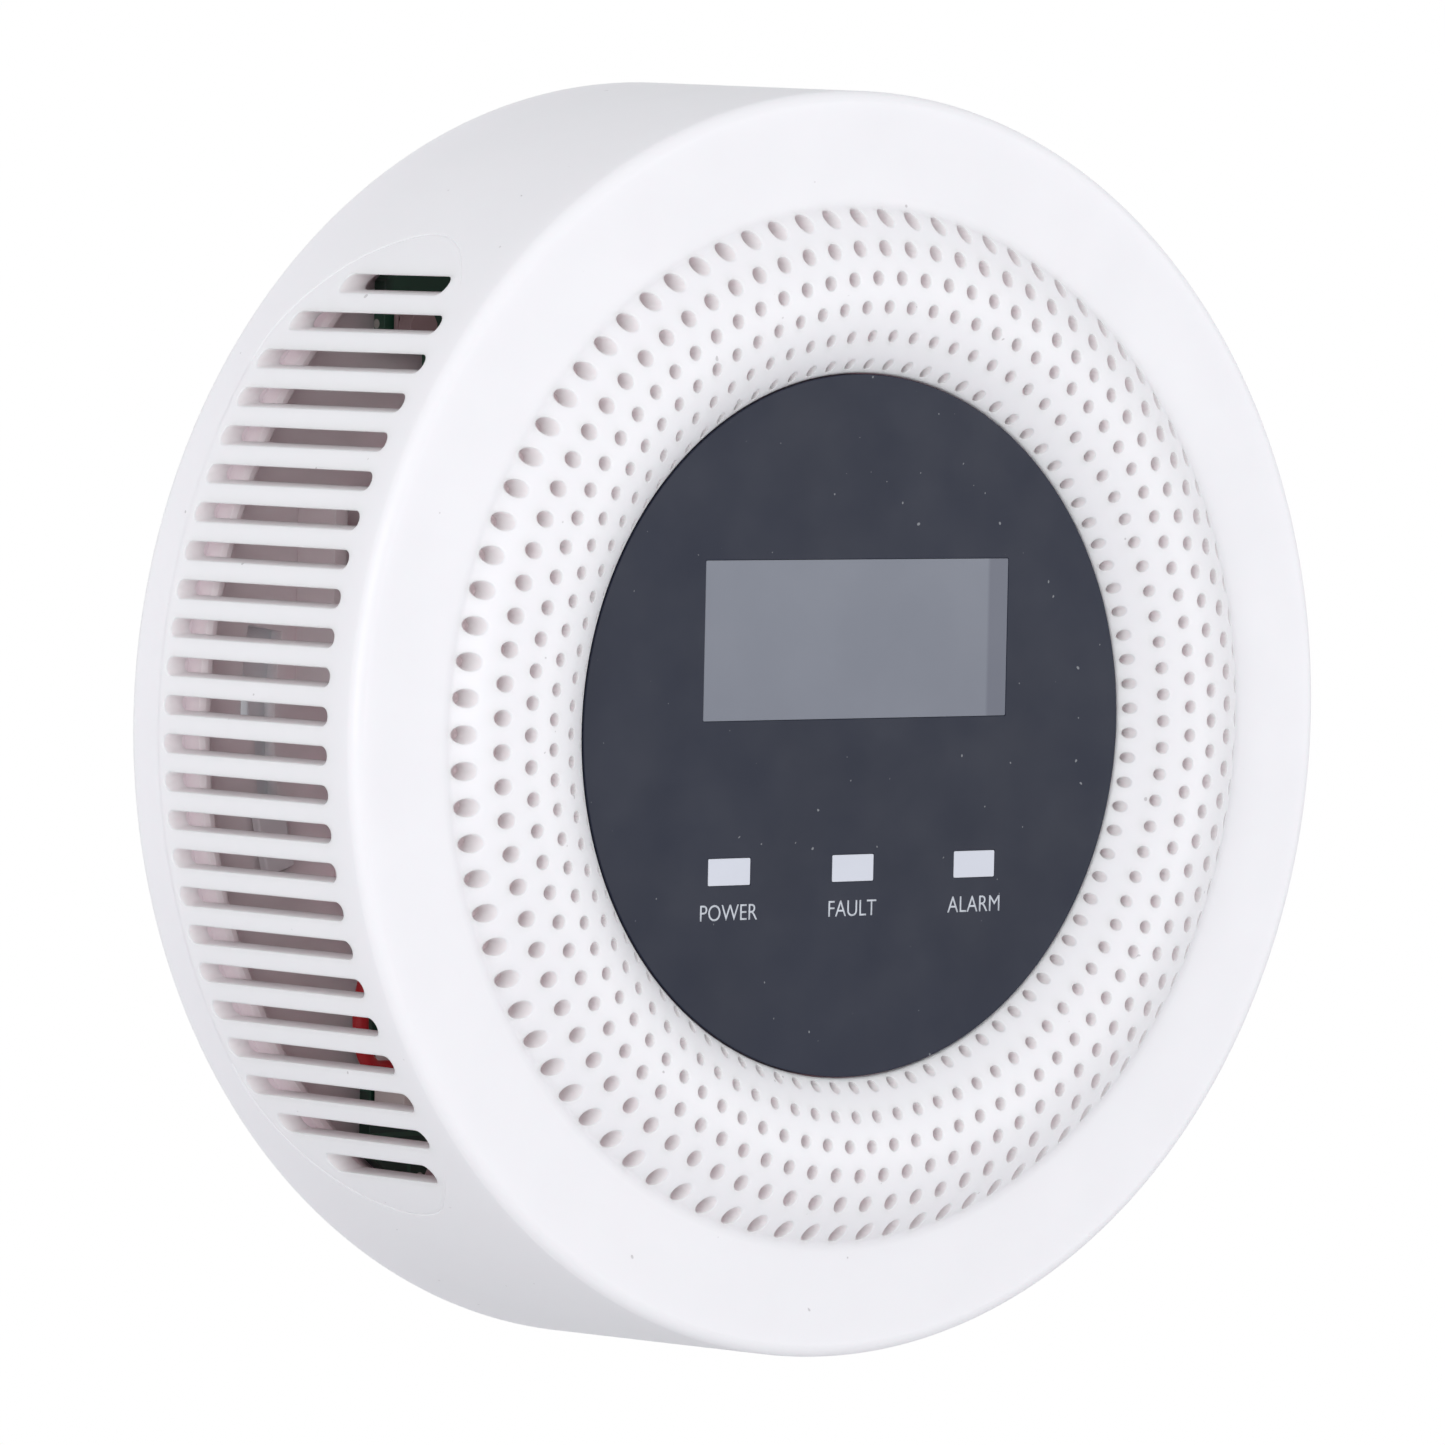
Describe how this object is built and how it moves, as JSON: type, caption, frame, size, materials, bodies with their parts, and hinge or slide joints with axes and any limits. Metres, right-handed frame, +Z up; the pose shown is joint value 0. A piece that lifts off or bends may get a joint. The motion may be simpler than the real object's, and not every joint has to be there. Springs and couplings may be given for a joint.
{
  "type": "carbon monoxide detector",
  "caption": "Round white wall-mounted carbon monoxide alarm with a perforated ring bulge, louvred sides and a dark press-to-test display panel.",
  "frame": {"origin": "centre of the wall plate's back plane, where the alarm's axis meets the wall", "axes": "+Z up, front faces -Y, +Y goes into the wall, +X is the alarm's right-hand side as seen from the room"},
  "size_m": [0.1164, 0.0362, 0.1164],
  "materials": {
    "white_plastic": "fine satin moulded ABS, bright cool white",
    "panel_grey": "satin dark blue-grey moulded plastic",
    "clear_window": "tinted clear acrylic pane over the display",
    "frosted_window": "frosted clear light guide",
    "green_board": "green solder mask on glass-fibre board with copper tracks",
    "black_plastic": "black moulded nylon",
    "nickel": "nickel-plated spring steel",
    "screw_steel": "zinc-plated steel",
    "filter_cloth": "thin non-woven filter cloth",
    "lcd": "unlit reflective liquid crystal glass",
    "led_body": "white lamp body with a clear resin well",
    "brass": "brass sounder disc with a ceramic face",
    "capacitor_sleeve": "dark blue shrink sleeve, aluminium top",
    "ferrite": "grey-brown ferrite",
    "connector": "natural white nylon",
    "wire_red": "red PVC insulation",
    "wire_black": "black PVC insulation",
    "cell_wrap": "plain printed cell wrap with bare ends"
  },
  "bodies": {
    "wall_plate": {"wall_plate": "white_plastic"},
    "housing": {"front_shell": "white_plastic", "back_cover": "white_plastic", "board_link": "black_plastic", "capacitor": "capacitor_sleeve", "case_screw_1": "screw_steel", "case_screw_2": "screw_steel", "case_screw_3": "screw_steel", "case_screw_4": "screw_steel", "cell_left": "cell_wrap", "cell_right": "cell_wrap", "co_sensor_can": "nickel", "co_sensor_cap": "white_plastic", "contact_bridge": "nickel", "contact_negative": "nickel", "contact_positive": "nickel", "display_board": "green_board", "display_screw_1": "screw_steel", "display_screw_2": "screw_steel", "display_screw_3": "screw_steel", "display_screw_4": "screw_steel", "dust_filter": "filter_cloth", "inductor": "ferrite", "lcd_glass": "lcd", "lcd_holder": "white_plastic", "lead_black": "wire_black", "lead_connector": "connector", "lead_red": "wire_red", "led_alarm": "led_body", "led_fault": "led_body", "led_power": "led_body", "main_board": "green_board", "microcontroller": "black_plastic", "piezo_disc": "brass", "sounder_cup": "black_plastic", "sounder_lid": "black_plastic", "spring_left": "nickel", "spring_right": "nickel", "switch_body": "black_plastic"},
    "panel": {"display_panel": "panel_grey", "lcd_window": "clear_window", "light_pipe_power": "frosted_window", "light_pipe_fault": "frosted_window", "light_pipe_alarm": "frosted_window"},
    "plunger": {"switch_plunger": "black_plastic"},
    "door": {"battery_door": "white_plastic"}
  },
  "joints": [
    {"name": "twist_lock", "type": "hinge", "parent": "wall_plate", "child": "housing", "pos_m": [0, 0, 0], "axis": [0, -1, 0], "range_deg": [0, 18]},
    {"name": "test_press", "type": "slide", "parent": "housing", "child": "panel", "axis": [0, 1, 0], "range_m": [0, 0.0008], "stiffness_N_per_m": 2000, "springref_m": -0.0004},
    {"name": "switch_travel", "type": "slide", "parent": "housing", "child": "plunger", "axis": [0, 1, 0], "range_m": [0, 0.0005]},
    {"name": "battery_door", "type": "hinge", "parent": "housing", "child": "door", "pos_m": [0, -0.0044, -0.0339], "axis": [-1, 0, 0], "range_deg": [0, 95]}
  ],
  "couplings": [
    {"joint": "switch_travel", "follows": "test_press", "ratio": 0.625}
  ]
}
